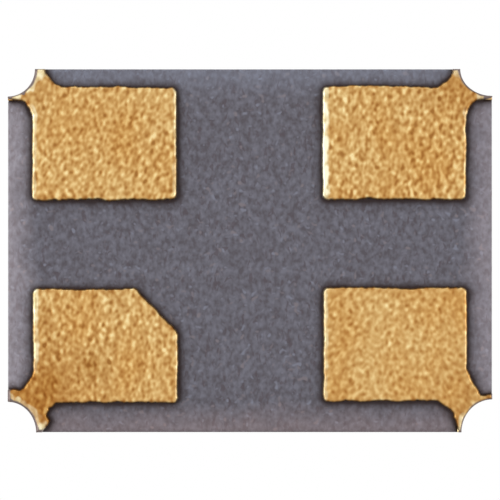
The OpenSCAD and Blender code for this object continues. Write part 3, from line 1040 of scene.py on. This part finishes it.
# Name, direction from the body, width, length and share of plain light
LAMPS = [
    ("under_left", (-1.0, 0.0, -0.58), 7e-3, 14e-3, 0.5),
    ("under_right", (1.0, 0.0, -0.58), 6e-3, 14e-3, 0.38),
    ("under_back", (-0.15, -1.0, -0.58), 14e-3, 7e-3, 0.24),
    ("over_key", (-0.6, -0.9, 1.3), 14e-3, 14e-3, 0.5),
    ("over_fill", (1.0, 0.7, 1.0), 16e-3, 16e-3, 0.3),
]
WORLD_LEVEL = 0.5
LENS, SENSOR = 200.0, 36.0  # in millimetres
FRAME_WIDTH = 1.6529e-3  # of the view, at the underside
AIM = (0.0, -0.0023e-3)
FLOOR_Z = -0.5 * MICRON
FLOOR_HALF = 0.12
FLOOR_FADE = (1.6e-3, 7e-3)  # where it starts and ends to fade to white


def lamps():
    """Soft lamps that the camera doesn't see."""
    for name, towards, width, length, share in LAMPS:
        data = bpy.data.lights.new(name, "AREA")
        data.shape, data.size, data.size_y = "RECTANGLE", width, length
        data.energy = share * math.pi**2 * LAMP_DISTANCE**2
        direction = Vector(towards).normalized()
        obj = add_object(name, data)
        obj.location = direction * LAMP_DISTANCE
        obj.rotation_mode = "QUATERNION"
        obj.rotation_quaternion = direction.to_track_quat("Z", "Y")
        obj.visible_camera = False


def world():
    """Soft light from all round, which the camera and reflections see as plain white."""
    made = bpy.data.worlds.new("studio")
    bpy.context.scene.world = made
    made.use_nodes = True
    made.cycles.sampling_method = "NONE"
    path = node(made, "LightPath").outputs
    seen = calc(made, "MAXIMUM", path["Is Camera Ray"], path["Is Glossy Ray"])
    seen = calc(made, "MAXIMUM", seen, path["Is Transmission Ray"])
    background = made.node_tree.nodes["Background"]
    background.inputs["Color"].default_value = (1, 1, 1, 1)
    feed(made, background.inputs["Strength"], remap(made, seen, 0.0, 1.0, WORLD_LEVEL, 1.0))


def floor_material():
    """Pale and matt, fading into the white, and clear from below."""
    m, shader = new_material("pale_floor")
    plug(m, shader, base_color=(0.86, 0.86, 0.86, 1), roughness=0.9, specular=0.1)
    away = node(m, "VectorMath", {0: place(m)}, operation="LENGTH").outputs["Value"]
    white = node(m, "Emission", {"Color": (1, 1, 1, 1), "Strength": 1.0})
    seen = node(m, "LightPath").outputs["Is Camera Ray"]
    share = calc(m, "MULTIPLY", seen, remap(m, away, *FLOOR_FADE))
    pale = node(m, "MixShader", {0: share, 1: shader.outputs[0], 2: white.outputs[0]})
    clear = node(m, "BsdfTransparent")
    back = node(m, "NewGeometry").outputs["Backfacing"]
    mix = node(m, "MixShader", {0: back, 1: pale.outputs[0], 2: clear.outputs[0]})
    feed(m, m.node_tree.nodes["Material Output"].inputs[0], mix.outputs[0])
    return m


def floor():
    """The floor that the part stands on."""
    mesh = bpy.data.meshes.new("floor")
    corners = [(x * FLOOR_HALF, y * FLOOR_HALF, FLOOR_Z) for x, y in ((-1, -1), (1, -1), (1, 1), (-1, 1))]
    mesh.from_pydata(corners, [], [(0, 1, 2, 3)])
    mesh.materials.append(floor_material())
    obj = add_object("floor", mesh)
    obj.visible_diffuse = obj.visible_glossy = obj.visible_transmission = obj.visible_shadow = False


def camera():
    """Square-on from below with a long lens, the body's -Y side at the top."""
    data = bpy.data.cameras.new("camera")
    data.lens, data.sensor_width = LENS, SENSOR
    data.clip_start, data.clip_end = 1e-4, 1.0
    obj = add_object("camera", data)
    obj.location = (*AIM, CERAMIC_BOTTOM - FRAME_WIDTH * LENS / SENSOR)
    obj.rotation_euler = (math.pi, 0, 0)
    bpy.context.scene.camera = obj


# ----- Assembly -----


def build():
    """Everything in the scene."""
    camera()
    world()
    lamps()
    floor()
    gold = gold_material()
    for seed, name in enumerate(CORNERS):
        terminal(name, 100 + 10 * seed, gold)
    ceramic(ceramic_material())
    seal_braze(brushed_metal("braze_alloy", (0.55, 0.51, 0.42), (0.37, 0.335, 0.27), 0.36, (1, 1, 1)))
    seal_ring(brushed_metal("ring_nickel", (0.53, 0.5, 0.44), (0.38, 0.355, 0.31), 0.32, (1, 1, 3)))
    lid(brushed_metal("lid_nickel", (0.56, 0.54, 0.5), (0.41, 0.395, 0.365), 0.36, (0.12, 1, 1), seam=True))
    inner_pieces()
    bpy.context.scene.view_settings.view_transform = "Standard"


build()
bpy.context.view_layer.update()
